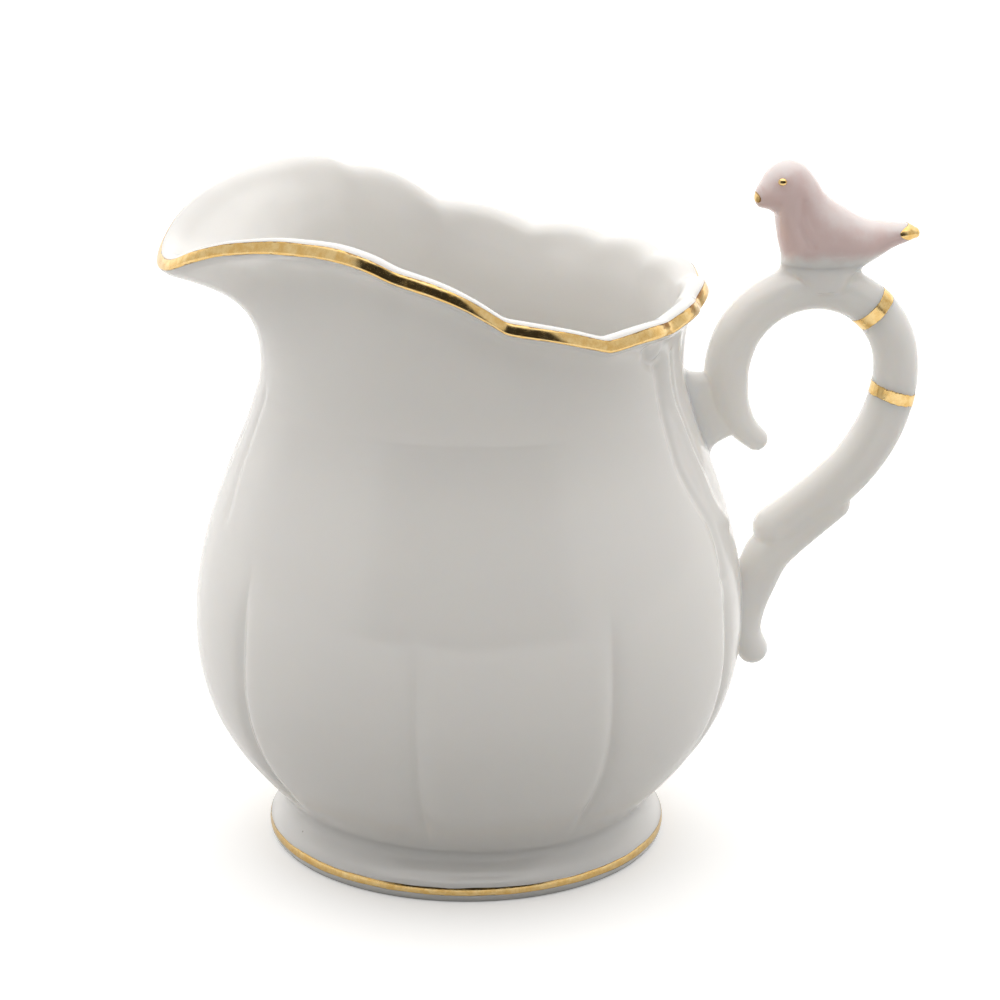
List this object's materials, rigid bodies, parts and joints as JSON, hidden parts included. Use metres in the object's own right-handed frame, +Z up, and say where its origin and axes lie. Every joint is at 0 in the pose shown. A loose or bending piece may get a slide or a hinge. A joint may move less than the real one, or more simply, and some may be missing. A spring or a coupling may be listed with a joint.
{
  "type": "cream jug",
  "caption": "Lobed porcelain cream jug with a scalloped gilt rim drawn into a pouring lip, a scroll handle topped by a small bird, and a flared foot.",
  "frame": {"origin": "bottom centre of the bounding box, in the plane the foot stands on; the middle of the foot is 12.2 mm towards -X from it", "axes": "+X from the pouring lip towards the handle, +Y to the right as one looks from the handle to the lip, +Z up"},
  "size_m": [0.1206, 0.0868, 0.109],
  "materials": {
    "white_glaze": "warm white porcelain under a clear gloss glaze",
    "pink_glaze": "dusty pink underglaze colour under a clear gloss glaze",
    "gold_lustre": "burnished gold lustre fired on the glaze"
  },
  "bodies": {
    "root": {"jug_body": "white_glaze", "foot_ring": "white_glaze", "rim_gilding": "gold_lustre", "foot_gilding": "gold_lustre", "handle_lug": "white_glaze", "handle_upper_scroll": "white_glaze", "handle_lower_scroll": "white_glaze", "handle_band_upper": "gold_lustre", "handle_band_lower": "gold_lustre", "bird_perch": "white_glaze", "bird": "pink_glaze", "bird_beak_gilding": "gold_lustre", "bird_tail_gilding": "gold_lustre", "bird_eye_left": "gold_lustre", "bird_eye_right": "gold_lustre"}
  },
  "joints": []
}
